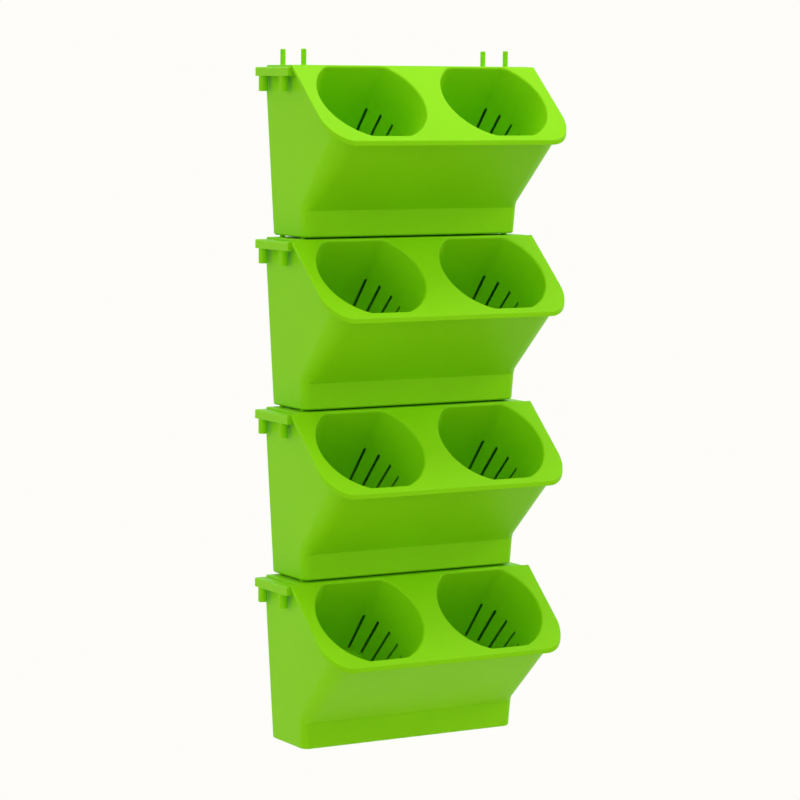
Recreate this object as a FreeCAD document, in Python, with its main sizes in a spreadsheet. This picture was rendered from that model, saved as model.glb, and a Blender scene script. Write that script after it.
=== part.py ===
import FreeCAD, Part
import math
import os
import Sketcher

# A column of four identical wall planter modules. Each module is a reservoir trough that hangs
# on the wall, a planting lid with two tilted cups that drops into it, and four stacking pins
# that carry the module above.
# Frame: X to the right, +Y into the wall, Z up. The back of the column is the plane Y = 0, and
# the origin is the centre of the lowest trough's four wall screw holes.
# Inside a module, Z = 0 is the underside of its trough.

doc = FreeCAD.newDocument("wall_planter")
sizes = doc.addObject("Spreadsheet::Sheet", "sizes")

driving_sizes = {
    # the stack
    "module_count": 4,
    "module_height": 169.6,
    "stack_gap": 1.8,
    # planting lid
    "deck_width": 280,
    "total_depth": 151.8,
    "ledge_margin": 3.8,
    "deck_drop": 72.8,
    "lip_band": 5,
    "lip_radius": 28.3,
    "lid_plate": 2.5,
    "lid_rim": 2.5,
    "rim_front_gap": 2.7,
    "rim_side_gap": 4.5,
    "lid_back_gap": 0.5,
    "lid_side_gap": 0.4,
    "seat_gap": 0.2,
    # cups in the lid
    "cup_centre": 48.9,
    "cup_middle_border": 26.6,
    "cup_back_border": 2.6,
    "cup_front_border": 8,
    "cup_back_round": 13,
    "cup_front_round": 9,
    "cup_least_flat": 3,
    "mouth_ease": 1.2,
    "cup_depth": 98,
    "cup_taper": 7,
    "cup_wall": 1.5,
    "cup_side_clearance": 0.65,
    "cup_front_clearance": 1,
    "slot_count": 7,
    "slot_width": 2.8,
    "slot_first_angle": 36,
    "slot_step_angle": 18,
    "slot_top": 49,
    "slot_floor_gap": 3,
    # reservoir trough
    "base_depth": 65.7,
    "base_radius": 8.5,
    "base_ease": 1.5,
    "skirt_height": 26.5,
    "skirt_draft": 2.6,
    "bend_rise": 5.5,
    "bend_radius": 15,
    "rim_radius": 25,
    "side_draft": 3.4,
    "trough_wall": 1.8,
    "trough_floor": 2.2,
    # stacking pins and their sockets
    "pin_diameter": 5.3,
    "pin_height": 16,
    "pin_tip_chamfer": 0.6,
    "pin_spigot": 4.3,
    "pin_seat": 10,
    "pin_side_inset": 6,
    "pin_back_inset": 7.5,
    "pin_front_inset": 14.5,
    "pin_press_gap": 0.05,
    "boss_wall": 2,
    "socket_gap": 0.4,
    "socket_wall": 1.8,
    # coupling tab on the left and its receiver on the right
    "tab_reach": 11.2,
    "root_depth": 0.45,
    "tab_drop": 2,
    "tab_thickness": 9,
    "tab_front_gap": 0.6,
    "peg_diameter": 9.3,
    "peg_length": 15,
    "peg_edge": 0.6,
    "column_gap": 1.5,
    "receiver_thickness": 4.5,
    "receiver_rim": 1.2,
    "receiver_gap": 0.35,
    "receiver_front_rim": 6,
    # wall screws and overflow
    "screw_hole": 5,
    "screw_span_x": 190,
    "screw_span_z": 60,
    "screw_top_inset": 22,
    "overflow_bore": 8,
    "overflow_wall": 3,
    "overflow_height": 30,
    "overflow_back_inset": 32,
    "drip_hole": 16,
}

# How far cutting blocks run past the faces that they cut, and how much is trimmed off the trough's back
overcut = 5
back_trim = 0.5

for row, (alias, size) in enumerate(driving_sizes.items(), start=1):
    sizes.set(f"A{row}", alias)
    sizes.set(f"B{row}", str(size))
    sizes.setAlias(f"B{row}", alias)
doc.recompute()


def value(expression):
    result = sizes.evalExpression(expression)
    return float(getattr(result, "Value", result))


# Sizes that follow from the driving ones, as expressions of the sheet

top = "sizes.module_height"
pitch = "(sizes.module_height + sizes.stack_gap)"
seat_depth = "(sizes.lid_plate + sizes.seat_gap)"
trough_top = f"({top} - {seat_depth})"
screw_level = f"({top} - sizes.screw_top_inset - sizes.screw_span_z / 2)"

ledge_depth = "(sizes.base_depth + sizes.ledge_margin)"
slope_run = f"(sizes.total_depth - {ledge_depth})"
slope = f"atan(sizes.deck_drop / {slope_run})"
slope_length = f"sqrt(pow(sizes.deck_drop; 2) + pow({slope_run}; 2))"

lip_bottom = f"({top} - sizes.deck_drop - sizes.lip_band)"

# The slanted front of the trough runs from the top of the skirt to the underside of the deck.
rim_depth = "(sizes.total_depth - sizes.lid_rim - sizes.rim_front_gap)"
rim_level = f"({top} - ({rim_depth} - {ledge_depth}) * tan({slope}) - {seat_depth} / cos({slope}))"
skirt_depth = "(sizes.base_depth + sizes.skirt_height * tan(sizes.skirt_draft))"
lean = f"atan(({rim_level} - sizes.skirt_height) / ({rim_depth} - {skirt_depth}))"


def half_width_at(height):
    # Half the width of the trough, whose sides draw in from the lid's rim down to the base
    narrowing = f"({trough_top} - ({height})) * tan(sizes.side_draft)"
    return f"(sizes.deck_width / 2 - sizes.lid_rim - sizes.rim_side_gap - {narrowing})"


pin_x = f"({half_width_at(0)} - sizes.pin_side_inset)"
pin_back = "sizes.pin_back_inset"
pin_front = "(sizes.base_depth - sizes.pin_front_inset)"
spigot_radius = "sizes.pin_spigot / 2"
socket_radius = "(sizes.pin_diameter / 2 + sizes.socket_gap)"
socket_depth = "(sizes.pin_height - sizes.stack_gap + sizes.seat_gap)"

tab_top = f"({top} - sizes.tab_drop)"
tab_bottom = f"({tab_top} - sizes.tab_thickness)"
tab_root_x = f"({half_width_at(tab_bottom)} - sizes.root_depth)"
tab_outer_x = f"({half_width_at(tab_top)} + sizes.tab_reach)"
ledge_half = f"({tab_root_x} - sizes.lid_side_gap)"
peg_x = f"({tab_outer_x} - sizes.peg_edge - sizes.peg_diameter / 2)"
receiver_hole = "(sizes.peg_diameter / 2 + sizes.receiver_gap)"
receiver_x = f"(sizes.deck_width + sizes.column_gap - {peg_x})"
receiver_top = f"({tab_bottom} - sizes.seat_gap)"
receiver_bottom = f"({receiver_top} - sizes.receiver_thickness)"

# The slanted front of the trough, seen along the cup axis: where its outer face meets the
# underside of the deck, and how fast it closes in on the cup with depth.
closing = f"(90 deg - {slope} - {lean})"
rim_along = f"(({rim_depth} - {ledge_depth}) * cos({slope}) + ({top} - {rim_level}) * sin({slope}))"

# The two cups fill the width between the trough's sides, level with the cup centres.
cup_level = f"({top} - sizes.cup_centre * sin({slope}))"
cup_edge = f"({half_width_at(cup_level)} - sizes.trough_wall - sizes.cup_side_clearance - sizes.cup_wall)"
cup_radius = f"({cup_edge} / 2 - sizes.cup_middle_border / 4)"
cup_x = f"({cup_edge} - {cup_radius})"
cup_back = f"min({cup_radius} - sizes.cup_least_flat; sizes.cup_centre - sizes.cup_back_border)"
cup_front = (f"min({cup_radius} - sizes.cup_least_flat; "
             f"{slope_length} - sizes.cup_front_border - sizes.cup_centre)")
slot_length = "(sizes.cup_depth - sizes.slot_floor_gap - sizes.slot_top)"


# Sketch helpers: every point is held by dimensions that the sheet drives

def new_sketch(body, name, plane_role, x="0", y="0", z="0", tilt=None):
    sketch = body.newObject("Sketcher::SketchObject", name)
    plane = next(item for item in body.Origin.OriginFeatures if item.Role == plane_role)
    sketch.AttachmentSupport = [(plane, "")]
    sketch.MapMode = "FlatFace"
    if tilt is not None:
        axis = FreeCAD.Vector(1, 0, 0)
        sketch.AttachmentOffset = FreeCAD.Placement(FreeCAD.Vector(), FreeCAD.Rotation(axis, value(tilt)))
        sketch.setExpression("AttachmentOffset.Rotation.Angle", tilt)
    for axis_name, expression in (("x", x), ("y", y), ("z", z)):
        if expression != "0":
            sketch.setExpression(f"AttachmentOffset.Base.{axis_name}", expression)
    return sketch


def drive(sketch, constraint, expression):
    index = sketch.addConstraint(constraint)
    sketch.setExpression(f"Constraints[{index}]", expression)


def hold(sketch, kind, geometry, point, expression):
    amount = value(expression)
    origin = (-1, 1)
    axis = {"DistanceX": -2, "DistanceY": -1}[kind]
    if abs(amount) < 1e-9:
        sketch.addConstraint(Sketcher.Constraint("PointOnObject", geometry, point, axis))
    elif amount > 0:
        drive(sketch, Sketcher.Constraint(kind, *origin, geometry, point, amount), expression)
    else:
        drive(sketch, Sketcher.Constraint(kind, geometry, point, *origin, -amount), f"-({expression})")


def place(expressions):
    return FreeCAD.Vector(value(expressions[0]), value(expressions[1]), 0)


def draw_polygon(sketch, corners):
    count = len(corners)
    points = [place(corner) for corner in corners]
    lines = [sketch.addGeometry(Part.LineSegment(points[i], points[(i + 1) % count])) for i in range(count)]
    for i, line in enumerate(lines):
        sketch.addConstraint(Sketcher.Constraint("Coincident", line, 2, lines[(i + 1) % count], 1))
    for line, (x, y) in zip(lines, corners):
        hold(sketch, "DistanceX", line, 1, x)
        hold(sketch, "DistanceY", line, 1, y)


def draw_rectangle(sketch, x_low, x_high, y_low, y_high):
    draw_polygon(sketch, [(x_low, y_low), (x_high, y_low), (x_high, y_high), (x_low, y_high)])


def draw_circles(sketch, centres, radius):
    for x, y in centres:
        circle = Part.Circle(place((x, y)), FreeCAD.Vector(0, 0, 1), value(radius))
        index = sketch.addGeometry(circle)
        hold(sketch, "DistanceX", index, 3, x)
        hold(sketch, "DistanceY", index, 3, y)
        drive(sketch, Sketcher.Constraint("Radius", index, value(radius)), radius)


def add_arc(sketch, x, y, radius, start, end):
    circle = Part.Circle(FreeCAD.Vector(x, y, 0), FreeCAD.Vector(0, 0, 1), radius)
    return sketch.addGeometry(Part.ArcOfCircle(circle, start, end))


def draw_front_rounded(sketch, back_corners, half_width, depth, radius):
    # Straight corners along the back from left to right, two sides, and a front with round corners
    points = [place(corner) for corner in back_corners]
    edge_x, front_y, round_r = value(half_width), -value(depth), value(radius)
    back = [sketch.addGeometry(Part.LineSegment(a, b)) for a, b in zip(points, points[1:])]
    right_top, left_top = points[-1], points[0]
    right_end = FreeCAD.Vector(edge_x, front_y + round_r, 0)
    left_end = FreeCAD.Vector(-edge_x, front_y + round_r, 0)
    right_front = FreeCAD.Vector(edge_x - round_r, front_y, 0)
    left_front = FreeCAD.Vector(-edge_x + round_r, front_y, 0)
    right_side = sketch.addGeometry(Part.LineSegment(right_top, right_end))
    right_arc = add_arc(sketch, right_front.x, right_end.y, round_r, -math.pi / 2, 0)
    front = sketch.addGeometry(Part.LineSegment(right_front, left_front))
    left_arc = add_arc(sketch, left_front.x, left_end.y, round_r, -math.pi, -math.pi / 2)
    left_side = sketch.addGeometry(Part.LineSegment(left_end, left_top))
    for first, second in zip(back, back[1:]):
        sketch.addConstraint(Sketcher.Constraint("Coincident", first, 2, second, 1))
    sketch.addConstraint(Sketcher.Constraint("Coincident", back[-1], 2, right_side, 1))
    sketch.addConstraint(Sketcher.Constraint("Coincident", left_side, 2, back[0], 1))
    sketch.addConstraint(Sketcher.Constraint("Tangent", right_side, 2, right_arc, 2))
    sketch.addConstraint(Sketcher.Constraint("Tangent", right_arc, 1, front, 1))
    sketch.addConstraint(Sketcher.Constraint("Tangent", front, 2, left_arc, 2))
    sketch.addConstraint(Sketcher.Constraint("Tangent", left_arc, 1, left_side, 1))
    sketch.addConstraint(Sketcher.Constraint("Vertical", right_side))
    sketch.addConstraint(Sketcher.Constraint("Vertical", left_side))
    sketch.addConstraint(Sketcher.Constraint("Horizontal", front))
    hold(sketch, "DistanceY", front, 1, f"-({depth})")
    for line, (x, y) in zip(back, back_corners):
        hold(sketch, "DistanceX", line, 1, x)
        hold(sketch, "DistanceY", line, 1, y)
    hold(sketch, "DistanceX", right_side, 1, back_corners[-1][0])
    hold(sketch, "DistanceY", right_side, 1, back_corners[-1][1])
    for arc in (right_arc, left_arc):
        drive(sketch, Sketcher.Constraint("Radius", arc, round_r), radius)


def draw_cup_mouth(sketch, radius, back, front, back_round, front_round):
    # A circle about the cup axis with a flat towards the crest, a flat towards the lip and round corners
    r, b, f = value(radius), value(back), value(front)
    back_r, front_r = value(back_round), value(front_round)
    back_angle = math.asin((b - back_r) / (r - back_r))
    front_angle = math.asin((f - front_r) / (r - front_r))
    back_x = (r - back_r) * math.cos(back_angle)
    front_x = (r - front_r) * math.cos(front_angle)
    back_y, front_y = b - back_r, front_r - f
    right = add_arc(sketch, 0, 0, r, -front_angle, back_angle)
    back_right = add_arc(sketch, back_x, back_y, back_r, back_angle, math.pi / 2)
    back_line = sketch.addGeometry(
        Part.LineSegment(FreeCAD.Vector(back_x, b, 0), FreeCAD.Vector(-back_x, b, 0)))
    back_left = add_arc(sketch, -back_x, back_y, back_r, math.pi / 2, math.pi - back_angle)
    left = add_arc(sketch, 0, 0, r, math.pi - back_angle, math.pi + front_angle)
    front_left = add_arc(sketch, -front_x, front_y, front_r, math.pi + front_angle, 3 * math.pi / 2)
    front_line = sketch.addGeometry(
        Part.LineSegment(FreeCAD.Vector(-front_x, -f, 0), FreeCAD.Vector(front_x, -f, 0)))
    front_right = add_arc(sketch, front_x, front_y, front_r, 3 * math.pi / 2, 2 * math.pi - front_angle)
    chain = [right, back_right, back_line, back_left, left, front_left, front_line, front_right]
    for first, second in zip(chain, chain[1:] + chain[:1]):
        sketch.addConstraint(Sketcher.Constraint("Tangent", first, 2, second, 1))
    for arc in (right, left):
        sketch.addConstraint(Sketcher.Constraint("Coincident", arc, 3, -1, 1))
        drive(sketch, Sketcher.Constraint("Radius", arc, r), radius)
    for arc in (back_right, back_left):
        drive(sketch, Sketcher.Constraint("Radius", arc, back_r), back_round)
    for arc in (front_right, front_left):
        drive(sketch, Sketcher.Constraint("Radius", arc, front_r), front_round)
    sketch.addConstraint(Sketcher.Constraint("Horizontal", back_line))
    sketch.addConstraint(Sketcher.Constraint("Horizontal", front_line))
    hold(sketch, "DistanceY", back_line, 1, back)
    hold(sketch, "DistanceY", front_line, 1, f"-({front})")


# Feature helpers

def new_body(name):
    return doc.addObject("PartDesign::Body", name)


def extrude(body, kind, sketch, length, reverse=False, symmetric=False):
    before = body.Shape.Volume if body.Tip else 0
    feature = body.newObject(f"PartDesign::{kind}", f"{sketch.Name}_{kind.lower()}")
    feature.Profile = sketch
    feature.Type = "Length"
    feature.setExpression("Length", length)
    feature.Reversed = reverse
    if symmetric:
        feature.SideType = "Symmetric"
    body.Tip = feature
    doc.recompute()
    gained = body.Shape.Volume - before
    if (gained > 0) != (kind == "Pad"):
        raise RuntimeError(f"{feature.Name} changed the volume by {gained}")
    return feature


def loft(body, kind, sketches):
    feature = body.newObject(f"PartDesign::{kind}", f"{sketches[0].Name}_loft")
    feature.Profile = sketches[0]
    feature.Sections = sketches[1:]
    feature.Ruled = True
    body.Tip = feature
    doc.recompute()
    return feature


def boolean(kind, name, shapes):
    feature = doc.addObject(f"Part::{kind}", name)
    if kind == "Cut":
        feature.Base, feature.Tool = shapes
    else:
        feature.Shapes = shapes
    feature.Refine = True
    doc.recompute()
    return feature


def four_corners():
    return [(x, y) for x in (f"-{pin_x}", pin_x) for y in (f"-{pin_back}", f"-{pin_front}")]


# Reservoir trough

def trough_section(body, name, height, inset, back, depth, radius):
    sketch = new_sketch(body, name, "XY_Plane", z=height)
    half = f"({half_width_at(height)} - ({inset}))"
    draw_front_rounded(sketch, [(f"-{half}", back), (half, back)], half, depth, radius)
    return sketch


def make_trough():
    body = new_body("trough_master")
    ease = "sizes.base_ease"
    wall = "sizes.trough_wall"
    bend_depth = f"({skirt_depth} + sizes.bend_rise / tan({lean}))"
    brim_depth = "(sizes.total_depth - sizes.lid_rim)"
    bends = [("skirt", "sizes.skirt_height", skirt_depth, "sizes.base_radius"),
             ("bend", "sizes.skirt_height + sizes.bend_rise", bend_depth, "sizes.bend_radius"),
             ("rim", f"{rim_level} + sizes.rim_front_gap * tan({lean})", brim_depth, "sizes.rim_radius")]

    # The outside starts behind the back plane and runs up past the deck. Both are then cut off flat.
    behind = f"{back_trim}"
    outer = [
        trough_section(body, "foot", "0", ease, behind, f"sizes.base_depth - {ease}",
                       f"sizes.base_radius - {ease}"),
        trough_section(body, "base", ease, "0", behind, "sizes.base_depth", "sizes.base_radius"),
        *[trough_section(body, name, height, "0", behind, depth, radius)
          for name, height, depth, radius in bends],
        trough_section(body, "brim", trough_top, "0", behind, brim_depth, "sizes.rim_radius"),
    ]
    loft(body, "AdditiveLoft", outer)

    # The inside follows the outside one wall in, with its bends lifted to keep the slanted wall as thick.
    lift = f"{wall} * tan((90 deg - {lean}) / 2)"
    inside = f"-{wall}"
    inner = [
        trough_section(body, "floor_inside", "sizes.trough_floor", wall, inside,
                       f"sizes.base_depth - {wall}", f"sizes.base_radius - {wall}"),
        *[trough_section(body, f"{name}_inside", f"{height} + {lift}", wall, inside, f"{depth} - {wall}",
                         f"{radius} - {wall}") for name, height, depth, radius in bends],
        trough_section(body, "brim_inside", trough_top, wall, inside,
                       f"{brim_depth} - {wall}", f"sizes.rim_radius - {wall}"),
    ]
    loft(body, "SubtractiveLoft", inner)

    back_cut = new_sketch(body, "back_cut", "XZ_Plane")
    half = "sizes.deck_width / 2"
    draw_rectangle(back_cut, f"-{half}", half, f"-{overcut}", f"{top} + {overcut}")
    extrude(body, "Pocket", back_cut, f"{back_trim} + {overcut}")

    # The top is cut along the underside of the lid's sloping deck.
    far = f"(sizes.total_depth + {overcut})"
    crest = f"({ledge_depth} - {seat_depth} * tan({slope} / 2))"
    low = f"({top} - ({far} - {ledge_depth}) * tan({slope}) - {seat_depth} / cos({slope}))"
    deck_cut = new_sketch(body, "deck_cut", "YZ_Plane")
    draw_polygon(deck_cut, [(f"-{crest}", trough_top), (f"-{far}", low),
                            (f"-{far}", f"{top} + {overcut}"), (f"-{crest}", f"{top} + {overcut}")])
    extrude(body, "Pocket", deck_cut, f"sizes.deck_width + {overcut}", symmetric=True)

    # Coupling tab with two pegs on the left, and the plate that takes a neighbour's pegs on the right
    tab_front = f"({ledge_depth} - sizes.tab_front_gap)"
    tab = new_sketch(body, "tab", "XY_Plane", z=tab_top)
    draw_rectangle(tab, f"-{tab_outer_x}", f"-{tab_root_x}", f"-{tab_front}", "0")
    extrude(body, "Pad", tab, "sizes.tab_thickness", reverse=True)
    pegs = new_sketch(body, "pegs", "XY_Plane", z=tab_bottom)
    draw_circles(pegs, [(f"-{peg_x}", f"-{y}") for y in (pin_back, pin_front)], "sizes.peg_diameter / 2")
    extrude(body, "Pad", pegs, "sizes.peg_length", reverse=True)
    receiver_outer = f"({receiver_x} + {receiver_hole} + sizes.receiver_rim)"
    receiver_front = f"({pin_front} + {receiver_hole} + sizes.receiver_front_rim)"
    receiver_root = f"({half_width_at(receiver_bottom)} - sizes.root_depth)"
    receiver = new_sketch(body, "receiver", "XY_Plane", z=receiver_top)
    draw_rectangle(receiver, receiver_root, receiver_outer, f"-{receiver_front}", "0")
    extrude(body, "Pad", receiver, "sizes.receiver_thickness", reverse=True)
    peg_holes = new_sketch(body, "peg_holes", "XY_Plane", z=receiver_bottom)
    draw_circles(peg_holes, [(receiver_x, f"-{y}") for y in (pin_back, pin_front)], receiver_hole)
    extrude(body, "Pocket", peg_holes, "sizes.receiver_thickness", reverse=True)

    # Blind sockets that drop over the pins of the module below, and the overflow pipe
    socket_bosses = new_sketch(body, "socket_bosses", "XY_Plane")
    draw_circles(socket_bosses, four_corners(), f"{socket_radius} + sizes.socket_wall")
    extrude(body, "Pad", socket_bosses, f"{socket_depth} + sizes.trough_floor")
    overflow_place = [("0", "-sizes.overflow_back_inset")]
    overflow_pipe = new_sketch(body, "overflow_pipe", "XY_Plane")
    draw_circles(overflow_pipe, overflow_place, "sizes.overflow_bore / 2 + sizes.overflow_wall")
    extrude(body, "Pad", overflow_pipe, "sizes.overflow_height")
    sockets = new_sketch(body, "sockets", "XY_Plane")
    draw_circles(sockets, four_corners(), socket_radius)
    extrude(body, "Pocket", sockets, socket_depth, reverse=True)
    overflow_bore = new_sketch(body, "overflow_bore", "XY_Plane")
    draw_circles(overflow_bore, overflow_place, "sizes.overflow_bore / 2")
    extrude(body, "Pocket", overflow_bore, "sizes.overflow_height", reverse=True)

    screw_holes = new_sketch(body, "screw_holes", "XZ_Plane")
    across = [f"{sign}sizes.screw_span_x / 2" for sign in ("-", "")]
    heights = [f"{screw_level} {sign} sizes.screw_span_z / 2" for sign in ("-", "+")]
    draw_circles(screw_holes, [(x, z) for x in across for z in heights], "sizes.screw_hole / 2")
    extrude(body, "Pocket", screw_holes, "sizes.trough_wall", reverse=True)
    return body


# Planting lid

def make_block(name, back_corners, half_width, depth, radius):
    body = new_body(name)
    sketch = new_sketch(body, f"{name}_outline", "XY_Plane", z=lip_bottom)
    draw_front_rounded(sketch, back_corners, half_width, depth, radius)
    extrude(body, "Pad", sketch, f"{top} - {lip_bottom}")
    return body


def make_fold(name, ledge_thickness, slope_thickness, inner_crest):
    # The folded section of the lid, flat over the ledge and sloping down to the lip
    body = new_body(name)
    far = f"(sizes.total_depth + {overcut})"
    drop = f"(({far} - {ledge_depth}) * tan({slope}))"
    sketch = new_sketch(body, f"{name}_section", "YZ_Plane")
    draw_polygon(sketch, [
        (f"{overcut}", top), (f"-{ledge_depth}", top), (f"-{far}", f"{top} - {drop}"),
        (f"-{far}", f"{top} - {drop} - {slope_thickness}"),
        (f"-{inner_crest}", f"{top} - {ledge_thickness}"), (f"{overcut}", f"{top} - {ledge_thickness}")])
    extrude(body, "Pad", sketch, f"sizes.deck_width + {overcut}", symmetric=True)
    return body


def cup_sketch(body, name, side, depth):
    # A sketch across the cup axis, at a depth below the deck; its own Y points up the slope
    y = f"-{ledge_depth} - sizes.cup_centre * cos({slope}) + ({depth}) * sin({slope})"
    z = f"{cup_level} - ({depth}) * cos({slope})"
    return new_sketch(body, name, "XY_Plane", f"{side}{cup_x}", y, z, slope)


def cup_mouth(body, name, side, depth, extra):
    sketch = cup_sketch(body, name, side, depth)
    draw_cup_mouth(sketch, f"{cup_radius} + {extra}", f"{cup_back} + {extra}", f"{cup_front} + {extra}",
                   f"sizes.cup_back_round + {extra}", f"sizes.cup_front_round + {extra}")
    return sketch


def make_cup(name, side, wall, depth, eased):
    # Solid cup form of the given extra wall: a drafted loft from the deck to the cup floor
    body = new_body(name)
    narrowing = f"({depth}) * tan(sizes.cup_taper)"
    margin = f"(sizes.trough_wall + sizes.cup_front_clearance + sizes.cup_wall - ({wall})) / cos({closing})"
    front_room = f"{rim_along} - ({depth} - {seat_depth}) * tan({closing}) - {margin} - sizes.cup_centre"
    if eased:
        sections = [cup_mouth(body, f"{name}_edge", side, "0", "sizes.mouth_ease"),
                    cup_mouth(body, f"{name}_mouth", side, "sizes.mouth_ease", wall)]
    else:
        sections = [cup_mouth(body, f"{name}_mouth", side, "0", wall)]
    # The front narrows as the rest does, or more where the trough's slanted front leaves less room.
    floor = cup_sketch(body, f"{name}_floor", side, depth)
    draw_cup_mouth(floor, f"{cup_radius} - {narrowing} + {wall}", f"{cup_back} - {narrowing} + {wall}",
                   f"min({cup_front} - {narrowing} + {wall}; {front_room})",
                   f"sizes.cup_back_round + {wall}", f"sizes.cup_front_round + {wall}")
    loft(body, "AdditiveLoft", [*sections, floor])
    return body


def make_slots(name, side):
    # A star of bars across the cup axis, one bar for each pair of opposite slots
    body = new_body(name)
    length = f"2 * ({cup_radius} + sizes.cup_wall)"
    first_angle = "90 + sizes.slot_first_angle"
    sketch = cup_sketch(body, f"{name}_bar", side, f"sizes.slot_top + {slot_length}")
    angle = math.radians(value(first_angle))
    along = FreeCAD.Vector(math.cos(angle), math.sin(angle), 0) * (value(length) / 2)
    across = FreeCAD.Vector(-math.sin(angle), math.cos(angle), 0) * (value("sizes.slot_width") / 2)
    corners = [-along - across, along - across, along + across, -along + across]
    sides = [sketch.addGeometry(Part.LineSegment(corners[i], corners[(i + 1) % 4])) for i in range(4)]
    for i, line in enumerate(sides):
        sketch.addConstraint(Sketcher.Constraint("Coincident", line, 2, sides[(i + 1) % 4], 1))
    sketch.addConstraint(Sketcher.Constraint("Parallel", sides[0], sides[2]))
    sketch.addConstraint(Sketcher.Constraint("Perpendicular", sides[0], sides[1]))
    sketch.addConstraint(Sketcher.Constraint("Perpendicular", sides[0], sides[3]))
    sketch.addConstraint(Sketcher.Constraint("Symmetric", sides[0], 1, sides[1], 2, -1, 1))
    drive(sketch, Sketcher.Constraint("Distance", sides[0], value(length)), length)
    drive(sketch, Sketcher.Constraint("Distance", sides[1], value("sizes.slot_width")), "sizes.slot_width")
    drive(sketch, Sketcher.Constraint("Angle", sides[0], angle), f"({first_angle}) * 1 deg")
    bar = extrude(body, "Pad", sketch, slot_length)
    star = body.newObject("PartDesign::PolarPattern", f"{name}_star")
    star.Originals = [bar]
    star.Axis = (sketch, ["N_Axis"])
    star.setExpression("Angle", "(sizes.slot_count - 1) * sizes.slot_step_angle")
    star.setExpression("Occurrences", "sizes.slot_count")
    body.Tip = star
    doc.recompute()
    return body


def make_ledge_rods(name, radius, low, high):
    # Four upright rods on the pin places, from one height to another
    body = new_body(name)
    sketch = new_sketch(body, f"{name}_circles", "XY_Plane", z=low)
    draw_circles(sketch, four_corners(), radius)
    extrude(body, "Pad", sketch, f"{high} - ({low})")
    return body


def make_lid():
    back = "-sizes.lid_back_gap"
    half = "sizes.deck_width / 2"
    shoulder = f"-{ledge_depth}"
    outline = [(f"-{half}", shoulder), (f"-{ledge_half}", shoulder), (f"-{ledge_half}", back),
               (ledge_half, back), (ledge_half, shoulder), (half, shoulder)]
    blank = make_block("lid_blank", outline, half, "sizes.total_depth", "sizes.lip_radius")
    inner_half = f"({half} - sizes.lid_rim)"
    hollow = make_block("lid_hollow", [(f"-{inner_half}", f"{overcut}"), (inner_half, f"{overcut}")],
                        inner_half, "sizes.total_depth - sizes.lid_rim", "sizes.lip_radius - sizes.lid_rim")
    plate_crest = f"({ledge_depth} - sizes.lid_plate * tan({slope} / 2))"
    plate_fold = make_fold("plate_fold", "sizes.lid_plate", f"sizes.lid_plate / cos({slope})", plate_crest)
    band_fold = make_fold("band_fold", "sizes.lip_band", "sizes.lip_band", ledge_depth)
    plate = boolean("MultiCommon", "lid_deck", [blank, plate_fold])
    band = boolean("Cut", "lid_band", (boolean("MultiCommon", "lid_band_full", [blank, band_fold]), hollow))

    seat_bottom = f"{top} - sizes.lid_plate - sizes.pin_seat"
    bosses = make_ledge_rods("pin_bosses", f"{spigot_radius} + sizes.boss_wall",
                             f"{seat_bottom} - sizes.boss_wall", f"{top} - sizes.lid_plate / 2")
    bores = make_ledge_rods("pin_bores", f"{spigot_radius} + sizes.pin_press_gap", seat_bottom,
                            f"{top} + {overcut}")
    drip = new_body("drip_hole")
    drip_sketch = new_sketch(drip, "drip_circle", "XY_Plane", z=f"{top} - sizes.lid_plate - {overcut}")
    draw_circles(drip_sketch, [("0", "-sizes.overflow_back_inset")], "sizes.drip_hole / 2")
    extrude(drip, "Pad", drip_sketch, f"sizes.lid_plate + 2 * {overcut}")

    added = [plate, band, bosses]
    removed = [bores, drip]
    for label, side in (("left", "-"), ("right", "")):
        outer_depth = "(sizes.cup_depth + sizes.cup_wall)"
        added.append(make_cup(f"{label}_cup", side, "sizes.cup_wall", outer_depth, False))
        removed.append(make_cup(f"{label}_cup_inside", side, "0", "sizes.cup_depth", True))
        removed.append(make_slots(f"{label}_slots", side))
    solid = boolean("MultiFuse", "lid_solid", added)
    voids = boolean("MultiFuse", "lid_voids", removed)
    return boolean("Cut", "lid_master", (solid, voids))


# Stacking pins: four pins whose shoulders stand on the lid's ledge, with a slimmer spigot in its bosses

def make_pins():
    body = make_ledge_rods("pins_master", "sizes.pin_diameter / 2", top, f"{top} + sizes.pin_height")
    spigots = new_sketch(body, "spigots", "XY_Plane", z=top)
    draw_circles(spigots, four_corners(), spigot_radius)
    extrude(body, "Pad", spigots, "sizes.lid_plate + sizes.pin_seat - sizes.seat_gap", reverse=True)
    tip = value(f"{top} + sizes.pin_height")
    numbered = enumerate(body.Shape.Edges, start=1)
    edges = [f"Edge{i}" for i, edge in numbered if edge.BoundBox.ZMin > tip - 0.01]
    rods = body.Tip
    chamfer = body.newObject("PartDesign::Chamfer", "pin_tips")
    chamfer.Base = (rods, edges)
    chamfer.setExpression("Size", "sizes.pin_tip_chamfer")
    body.Tip = chamfer
    doc.recompute()
    return body


def clone(label, master, number):
    # One moulding of the column: a copy of its master, raised to its place in the stack
    body = doc.addObject("PartDesign::Body", label)
    copy = body.newObject("PartDesign::FeatureBase", f"{label}_copy")
    copy.BaseFeature = master
    body.Tip = copy
    body.Label = label
    body.setExpression("Placement.Base.z", f"{number - 1} * {pitch} - {screw_level}")
    return body


masters = {"reservoir_trough": make_trough(), "planting_lid": make_lid(), "stacking_pins": make_pins()}
subparts = []
for number in range(1, int(value("sizes.module_count")) + 1):
    for name, master in masters.items():
        subparts.append(clone(f"{name}_{number}", master, number))
doc.recompute()

for item in doc.Objects:
    if "Invalid" in item.State or "Error" in item.State:
        raise RuntimeError(f"{item.Name} failed: {item.State}")
for part in subparts:
    if part.Shape.isNull() or not part.Shape.isValid():
        raise RuntimeError(f"{part.Label} has no valid shape")

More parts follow.
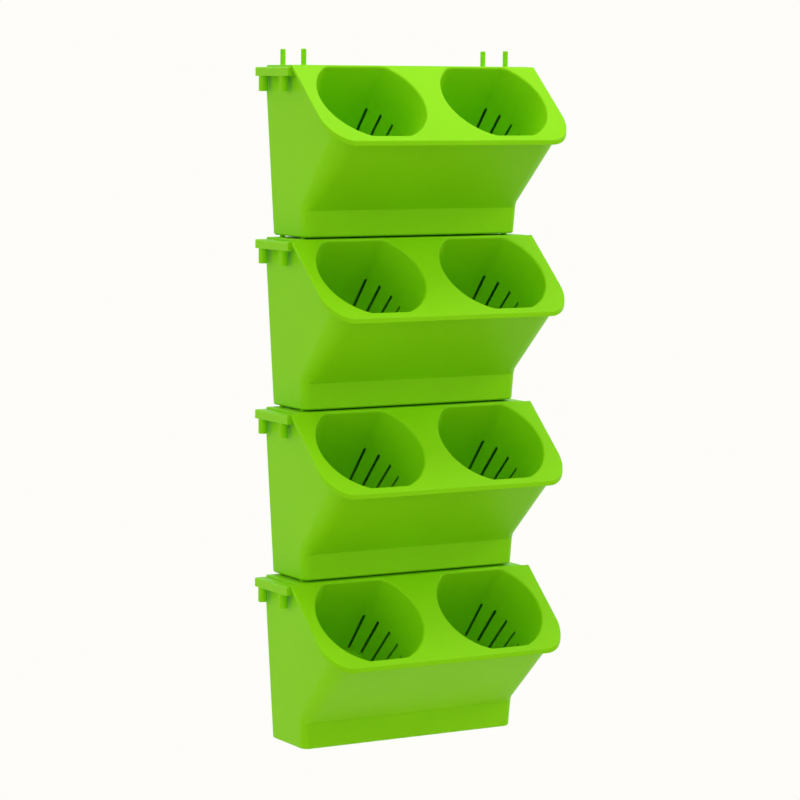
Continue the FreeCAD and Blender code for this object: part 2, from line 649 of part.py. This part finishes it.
os.makedirs("parts", exist_ok=True)
for part in subparts:
    part.Shape.exportStep(f"parts/{part.Label}.step")
    box = part.Shape.BoundBox
    print(f"{part.Label}: {len(part.Shape.Solids)} solids, {part.Shape.Volume / 1000:.1f} cm3,",
          f"{box.XLength:.1f} x {box.YLength:.1f} x {box.ZLength:.1f} mm")
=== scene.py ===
import bmesh
import bpy
import math
from mathutils import Matrix, Vector


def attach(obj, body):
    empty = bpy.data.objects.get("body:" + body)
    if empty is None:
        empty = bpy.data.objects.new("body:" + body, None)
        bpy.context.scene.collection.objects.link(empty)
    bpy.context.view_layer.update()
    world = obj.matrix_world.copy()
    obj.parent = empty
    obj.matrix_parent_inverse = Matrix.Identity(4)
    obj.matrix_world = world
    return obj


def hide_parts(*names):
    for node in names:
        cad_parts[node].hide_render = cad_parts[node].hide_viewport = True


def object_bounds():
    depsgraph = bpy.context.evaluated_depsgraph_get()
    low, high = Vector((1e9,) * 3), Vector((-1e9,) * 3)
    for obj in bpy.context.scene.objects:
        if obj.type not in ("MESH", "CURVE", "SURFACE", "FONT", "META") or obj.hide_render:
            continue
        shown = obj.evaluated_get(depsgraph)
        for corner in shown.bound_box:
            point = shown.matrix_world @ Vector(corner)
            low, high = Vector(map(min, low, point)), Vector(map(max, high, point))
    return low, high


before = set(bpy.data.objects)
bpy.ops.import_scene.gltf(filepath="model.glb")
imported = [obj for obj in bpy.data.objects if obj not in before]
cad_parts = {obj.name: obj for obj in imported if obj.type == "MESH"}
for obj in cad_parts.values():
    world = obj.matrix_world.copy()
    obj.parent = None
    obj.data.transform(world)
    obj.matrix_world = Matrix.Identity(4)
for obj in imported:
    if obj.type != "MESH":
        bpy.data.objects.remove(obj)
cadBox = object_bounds()
mm = 0.001
scene = bpy.context.scene

# the column, in mm; heights count from the origin, the middle of the lowest trough's screw holes
column = {
    "modules": range(1, 5),  # from the bottom
    "pitch": 171.4,
    "firstLedge": 52.0,      # top of the lowest lid's ledge
    "ledgeDepth": 69.5,      # from the wall to the crest where the deck begins
    "deckSlope": 41.495,     # degrees
}


def ledgeHeight(number):
    return column["firstLedge"] + (number - 1) * column["pitch"]


def toLinear(hexColour):
    channels = [int(hexColour[i:i + 2], 16) / 255 for i in (1, 3, 5)]
    return [c / 12.92 if c <= 0.04045 else ((c + 0.055) / 1.055) ** 2.4 for c in channels] + [1]


def addNode(tree, kind, settings=None, links=None):
    # settings: attributes by name, or input values by socket; links: input socket to output socket
    node = tree.nodes.new(kind)
    for name, setting in (settings or {}).items():
        if isinstance(name, str) and hasattr(node, name):
            setattr(node, name, setting)
        else:
            node.inputs[name].default_value = setting
    for name, socket in (links or {}).items():
        tree.links.new(node.inputs[name], socket)
    return node


# moulded polypropylene: pigmented all through, satin from a fine spark-eroded mould,
# with faint flow clouds in the colour and a soft sheen on broad faces
limePlastic = {
    "name": "limePolypropylene",
    "colour": "#93E40C",
    "flowColour": "#8BDA08",
    "flowSize": 90,        # mm across a flow cloud
    "flowDetail": 3.0,
    "grainSize": 0.9,      # mm between mould grains, drawn about twice too coarse so that it shows
    "grainDetail": 2.0,
    "grainHeight": 0.02,   # mm
    "grainStrength": 0.3,
    "roughness": 0.45,
    "roughnessSpread": 0.05,
    "ior": 1.49,
    "specular": 0.15,      # pigment and mould grain dull the gloss
    "gloss": "#F2FFC0",    # and lend it some of the body's colour
    "translucency": 0.15,  # thin walls let a little light into the closed troughs
    "lightReach": 1.5,     # mm
    "reachByColour": (0.4, 1.0, 0.1),
}


def makePlastic(look):
    material = bpy.data.materials.new(look["name"])
    material.use_nodes = True
    tree = material.node_tree
    shader = tree.nodes["Principled BSDF"]
    shader.inputs["IOR"].default_value = look["ior"]
    shader.inputs["Specular IOR Level"].default_value = look["specular"]
    shader.inputs["Specular Tint"].default_value = toLinear(look["gloss"])
    shader.inputs["Subsurface Weight"].default_value = look["translucency"]
    shader.inputs["Subsurface Scale"].default_value = look["lightReach"] * mm
    shader.inputs["Subsurface Radius"].default_value = look["reachByColour"]
    place = addNode(tree, "ShaderNodeTexCoord")
    clouds = addNode(tree, "ShaderNodeTexNoise",
                     {"Scale": 1 / (look["flowSize"] * mm), "Detail": look["flowDetail"]},
                     {"Vector": place.outputs["Object"]})
    # sockets 6 and 7 take the two colours, and output 2 gives the mixed one
    tint = addNode(tree, "ShaderNodeMix",
                   {"data_type": "RGBA", 6: toLinear(look["colour"]), 7: toLinear(look["flowColour"])},
                   {0: clouds.outputs["Fac"]})
    tree.links.new(shader.inputs["Base Color"], tint.outputs[2])
    grain = addNode(tree, "ShaderNodeTexNoise",
                    {"Scale": 1 / (look["grainSize"] * mm), "Detail": look["grainDetail"]},
                    {"Vector": place.outputs["Object"]})
    satin = addNode(tree, "ShaderNodeMapRange",
                    {"To Min": look["roughness"] - look["roughnessSpread"],
                     "To Max": look["roughness"] + look["roughnessSpread"]},
                    {"Value": grain.outputs["Fac"]})
    tree.links.new(shader.inputs["Roughness"], satin.outputs["Result"])
    bump = addNode(tree, "ShaderNodeBump",
                   {"Strength": look["grainStrength"], "Distance": look["grainHeight"] * mm},
                   {"Height": grain.outputs["Fac"]})
    tree.links.new(shader.inputs["Normal"], bump.outputs["Normal"])
    return material


plastic = makePlastic(limePlastic)
print("materials made")

weldGap = 0.002  # mm, joins the loose triangles of a CAD form


def middleOf(edge):
    return (edge.verts[0].co + edge.verts[1].co) / 2 / mm


def softenedCopy(nodeName, pieceName, look, easeShare):
    # the CAD form with its edges rounded off as the mould rounds them; easeShare gives an edge its
    # share of the largest radius
    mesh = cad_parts[nodeName].data.copy()
    shape = bmesh.new()
    shape.from_mesh(mesh)
    bmesh.ops.remove_doubles(shape, verts=shape.verts, dist=weldGap * mm)
    bmesh.ops.dissolve_limit(shape, angle_limit=math.radians(look["flatAngle"]), verts=shape.verts,
                             edges=shape.edges)
    weight = shape.edges.layers.float.new("bevel_weight_edge")
    for face in shape.faces:
        face.smooth = True
    for edge in shape.edges:
        if edge.calc_face_angle(0) > math.radians(look["sharpAngle"]):
            edge.smooth = False
            edge[weight] = easeShare(edge)
    shape.to_mesh(mesh)
    shape.free()
    mesh.materials.clear()
    mesh.materials.append(plastic)
    piece = bpy.data.objects.new(pieceName, mesh)
    scene.collection.objects.link(piece)
    bevel = piece.modifiers.new("softEdges", "BEVEL")
    bevel.width = look["edgeRadius"] * mm
    bevel.segments = look["edgeSteps"]
    bevel.limit_method = "WEIGHT"
    bevel.use_clamp_overlap = False
    bevel.harden_normals = True
    return piece


def dress(piece, node, body):
    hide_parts(node)
    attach(piece, body)


# reservoir trough: convex edges are eased, and the upper outer edge of the coupling tab is rounded more
trough = {
    "edgeRadius": 2.0,   # mm, at the tab
    "plainShare": 0.25,  # of that, elsewhere
    "edgeSteps": 3,
    "sharpAngle": 25,    # degrees; an edge that turns more is a sharp one
    "flatAngle": 0.2,    # degrees; faces that turn less are merged
    "tabSide": -143.5,   # the tab's outer edge lies left of this
    "tabDrop": 2.0,      # its top below the ledge
    "tabRoot": -132.06,  # where it rises from the rim, which is too narrow there to be eased
    "tolerance": 0.1,    # mm, in finding these edges
}


def troughShare(edge, number):
    middle = middleOf(edge)
    tabTop = ledgeHeight(number) - trough["tabDrop"]
    if not edge.is_convex or abs(middle.x - trough["tabRoot"]) < trough["tolerance"]:
        return 0.0
    isTabEdge = middle.x < trough["tabSide"] and abs(middle.z - tabTop) < trough["tolerance"]
    return 1.0 if isTabEdge else trough["plainShare"]


for number in column["modules"]:
    node = f"reservoir_trough_{number}"
    piece = softenedCopy(node, f"reservoir_trough_form_{number}", trough,
                         lambda edge: troughShare(edge, number))
    dress(piece, node, f"trough_{number}")
print("troughs dressed")

# planting lid: the deck's outline, the crest, the lip and the cup mouths are eased;
# the slots and the bosses underneath stay crisp
lid = {
    "edgeRadius": 0.65,  # mm
    "edgeSteps": 3,
    "sharpAngle": 25,    # degrees, as for the trough
    "flatAngle": 0.2,
    "easedDepth": 5.5,   # mm below the ledge and deck, where the eased edges end
}


def lidShare(edge, number):
    middle = middleOf(edge)
    ahead = max(0, -middle.y - column["ledgeDepth"])
    below = ledgeHeight(number) - ahead * math.tan(math.radians(column["deckSlope"])) - middle.z
    return float(edge.is_convex and below < lid["easedDepth"])


for number in column["modules"]:
    node = f"planting_lid_{number}"
    piece = softenedCopy(node, f"planting_lid_form_{number}", lid,
                         lambda edge: lidShare(edge, number))
    dress(piece, node, f"lid_{number}")
print("lids dressed")

# stacking pins, in mm: a shaft with an eased tip on the ledge, and a slimmer spigot pressed into the lid
pins = {
    "Span": 234.169,
    "Spacing": 43.7,
    "Middle": -29.35,
    "Ledge Height": 0.0,  # set for each module
    "Shaft Radius": 2.65,
    "Shaft Height": 16.0,
    "Tip Ease": 0.6,
    "Spigot Radius": 2.15,
    "Spigot Depth": 12.3,
}
pinMesh = {
    "sides": 32,
    "shoulderRise": 0.001,  # mm, all but flat
    "weldGap": 0.003,       # mm, joins the rings and caps
    "sharpAngle": 30,       # degrees
}


def makePinTree():
    tree = bpy.data.node_groups.new("stackingPins", "GeometryNodeTree")
    tree.interface.new_socket("Geometry", in_out="OUTPUT", socket_type="NodeSocketGeometry")
    for name, millimetres in pins.items():
        socket = tree.interface.new_socket(name, in_out="INPUT", socket_type="NodeSocketFloat")
        socket.default_value = millimetres * mm
    size = addNode(tree, "NodeGroupInput").outputs

    def raised(mesh, height):
        lift = addNode(tree, "ShaderNodeCombineXYZ", None, {"Z": height})
        return addNode(tree, "GeometryNodeTransform", None,
                       {"Geometry": mesh, "Translation": lift.outputs[0]}).outputs[0]

    def less(first, second):
        return addNode(tree, "ShaderNodeMath", {"operation": "SUBTRACT"},
                       {0: first, 1: second}).outputs[0]

    def ring(low, high, depth, height):
        side = addNode(tree, "GeometryNodeMeshCone",
                       {"fill_type": "NONE", "Vertices": pinMesh["sides"]},
                       {"Radius Bottom": low, "Radius Top": high, "Depth": depth})
        return raised(side.outputs["Mesh"], height)

    def cap(radius, height):
        disc = addNode(tree, "GeometryNodeMeshCircle",
                       {"fill_type": "NGON", "Vertices": pinMesh["sides"]}, {"Radius": radius})
        return raised(disc.outputs["Mesh"], height)

    zero = addNode(tree, "ShaderNodeValue").outputs[0]
    rise = addNode(tree, "ShaderNodeValue").outputs[0]
    zero.default_value = 0
    rise.default_value = pinMesh["shoulderRise"] * mm
    shaft, spigot = size["Shaft Radius"], size["Spigot Radius"]
    tipRadius = less(shaft, size["Tip Ease"])
    tipHeight = less(size["Shaft Height"], size["Tip Ease"])
    foot = less(zero, size["Spigot Depth"])
    footCap = addNode(tree, "GeometryNodeFlipFaces", None, {"Mesh": cap(spigot, foot)})
    joined = addNode(tree, "GeometryNodeJoinGeometry")
    for surface in (footCap.outputs[0], ring(spigot, spigot, size["Spigot Depth"], foot),
                    ring(spigot, shaft, rise, zero), ring(shaft, shaft, tipHeight, zero),
                    ring(shaft, tipRadius, size["Tip Ease"], tipHeight),
                    cap(tipRadius, size["Shaft Height"])):
        tree.links.new(joined.inputs[0], surface)
    pin = addNode(tree, "GeometryNodeMergeByDistance", {"Distance": pinMesh["weldGap"] * mm},
                  {"Geometry": joined.outputs[0]})
    corners = addNode(tree, "GeometryNodeMeshGrid", {"Vertices X": 2, "Vertices Y": 2},
                      {"Size X": size["Span"], "Size Y": size["Spacing"]})
    ledge = addNode(tree, "ShaderNodeCombineXYZ", None, {"Y": size["Middle"], "Z": size["Ledge Height"]})
    places = addNode(tree, "GeometryNodeTransform", None,
                     {"Geometry": corners.outputs["Mesh"], "Translation": ledge.outputs[0]})
    stand = addNode(tree, "GeometryNodeInstanceOnPoints", None,
                    {"Points": places.outputs[0], "Instance": pin.outputs[0]})
    real = addNode(tree, "GeometryNodeRealizeInstances", None, {"Geometry": stand.outputs[0]})
    painted = addNode(tree, "GeometryNodeSetMaterial", {"Material": plastic},
                      {"Geometry": real.outputs[0]})
    addNode(tree, "NodeGroupOutput", None, {0: painted.outputs[0]})
    return tree


pinTree = makePinTree()


def makePins(number):
    holder = bpy.data.objects.new(f"pinHolder{number}", bpy.data.meshes.new(f"pinHolder{number}"))
    scene.collection.objects.link(holder)
    nodes = holder.modifiers.new("stackingPins", "NODES")
    nodes.node_group = pinTree
    for item in pinTree.interface.items_tree:
        if item.in_out == "INPUT" and item.name == "Ledge Height":
            nodes[item.identifier] = ledgeHeight(number) * mm
    mesh = bpy.data.meshes.new_from_object(holder.evaluated_get(bpy.context.evaluated_depsgraph_get()))
    bpy.data.objects.remove(holder)
    for face in mesh.polygons:
        face.use_smooth = True
    mesh.set_sharp_from_angle(angle=math.radians(pinMesh["sharpAngle"]))
    piece = bpy.data.objects.new(f"stacking_pins_form_{number}", mesh)
    scene.collection.objects.link(piece)
    return piece


for number in column["modules"]:
    dress(makePins(number), f"stacking_pins_{number}", f"lid_{number}")
print("pins dressed")

# studio: a pale floor well below the column, a soft surround and three large soft lights
studio = {
    "floorDrop": 880,      # mm below the lowest trough
    "floorRadius": 1900,   # mm
    "floorSides": 96,
    "floorColour": "#F4F3EF",
    "floorRoughness": 0.9,
    "backgroundColour": "#FEFDF9",
    # strength of the surround by the height it comes from, from -1 below to 1 above
    "surround": [(-0.2, 0.62), (-0.1, 0.0), (0.1, 0.0), (0.2, 1.08), (0.6, 1.08), (0.75, 0.14)],
    # place and width in m, power in W; all point at lightTarget
    "lightTarget": (0, -0.06, 0.23),
    "lights": {
        "topLight": {"place": (0.0, -0.1, 2.8), "width": 1.6, "power": 31},
        "leftLight": {"place": (-2.5, -0.6, 0.6), "width": 1.4, "power": 8},
        "rightLight": {"place": (1.6, -1.2, 1.9), "width": 1.4, "power": 14},
    },
}


def makeFloor():
    shape = bmesh.new()
    bmesh.ops.create_circle(shape, cap_ends=True, segments=studio["floorSides"],
                            radius=studio["floorRadius"] * mm)
    low = cadBox[0][2] - studio["floorDrop"] * mm
    bmesh.ops.translate(shape, verts=shape.verts, vec=(0, 0, low))
    mesh = bpy.data.meshes.new("floor")
    shape.to_mesh(mesh)
    shape.free()
    floor = bpy.data.objects.new("floor", mesh)
    scene.collection.objects.link(floor)
    material = bpy.data.materials.new("paperFloor")
    material.use_nodes = True
    shader = material.node_tree.nodes["Principled BSDF"]
    shader.inputs["Base Color"].default_value = toLinear(studio["floorColour"])
    shader.inputs["Roughness"].default_value = studio["floorRoughness"]
    mesh.materials.append(material)


def makeWorld():
    # the camera and reflections see the plain background, and diffuse light comes from the surround
    world = bpy.data.worlds.new("studioWorld")
    scene.world = world
    world.use_nodes = True
    tree = world.node_tree
    tree.nodes.clear()
    seen = addNode(tree, "ShaderNodeBackground", {"Color": toLinear(studio["backgroundColour"])})
    direction = addNode(tree, "ShaderNodeTexCoord")
    axes = addNode(tree, "ShaderNodeSeparateXYZ", None, {0: direction.outputs["Generated"]})
    height = addNode(tree, "ShaderNodeMapRange", {"From Min": -1.0}, {"Value": axes.outputs["Z"]})
    ramp = addNode(tree, "ShaderNodeValToRGB", None, {"Fac": height.outputs["Result"]})
    stops = ramp.color_ramp.elements
    while len(stops) < len(studio["surround"]):
        stops.new(1)
    for stop, (level, strength) in zip(stops, studio["surround"]):
        stop.position = (level + 1) / 2
        stop.color = (strength, strength, strength, 1)
    lit = addNode(tree, "ShaderNodeBackground", None, {"Color": ramp.outputs["Color"]})
    path = addNode(tree, "ShaderNodeLightPath")
    direct = addNode(tree, "ShaderNodeMath", {"operation": "MAXIMUM"},
                     {0: path.outputs["Is Camera Ray"], 1: path.outputs["Is Glossy Ray"]})
    shown = addNode(tree, "ShaderNodeMath", {"operation": "MAXIMUM"},
                    {0: direct.outputs[0], 1: path.outputs["Is Transmission Ray"]})
    mix = addNode(tree, "ShaderNodeMixShader", None,
                  {0: shown.outputs[0], 1: lit.outputs[0], 2: seen.outputs[0]})
    addNode(tree, "ShaderNodeOutputWorld", None, {"Surface": mix.outputs[0]})


def makeLight(name, light, target):
    lamp = bpy.data.lights.new(name, "AREA")
    lamp.shape = "DISK"
    lamp.size = light["width"]
    lamp.energy = light["power"]
    holder = bpy.data.objects.new(name, lamp)
    scene.collection.objects.link(holder)
    holder.location = light["place"]
    holder.rotation_euler = (target - holder.location).to_track_quat("-Z", "Y").to_euler()


makeFloor()
makeWorld()
for name, light in studio["lights"].items():
    makeLight(name, light, Vector(studio["lightTarget"]))

# the camera as fitted to the photograph, in degrees and mm
view = {
    "azimuth": 30.129,
    "pitch": 5.937,
    "roll": 0.34,
    "distance": 3056.2,
    "target": (-10.22, -60, 230.0),
    "focalPixels": 3019.9,
    "frameWidth": 800,   # pixels
    "sensorWidth": 36,
}


def makeCamera():
    camera = bpy.data.objects.new("camera", bpy.data.cameras.new("camera"))
    scene.collection.objects.link(camera)
    scene.camera = camera
    camera.data.sensor_width = view["sensorWidth"]
    camera.data.lens = view["sensorWidth"] * view["focalPixels"] / view["frameWidth"]
    turn, tip, roll = (math.radians(view[key]) for key in ("azimuth", "pitch", "roll"))
    back = Vector((-math.sin(turn) * math.cos(tip), -math.cos(turn) * math.cos(tip), math.sin(tip)))
    right = (-back).cross(Vector((0, 0, 1))).normalized()
    up = right.cross(-back)
    rolledRight = right * math.cos(roll) + up * math.sin(roll)
    rolledUp = up * math.cos(roll) - right * math.sin(roll)
    facing = Matrix((rolledRight, rolledUp, back)).transposed().to_4x4()
    place = Vector(view["target"]) * mm + back * view["distance"] * mm
    camera.matrix_world = Matrix.Translation(place) @ facing


makeCamera()
scene.view_settings.view_transform = "Standard"
print("studio set")
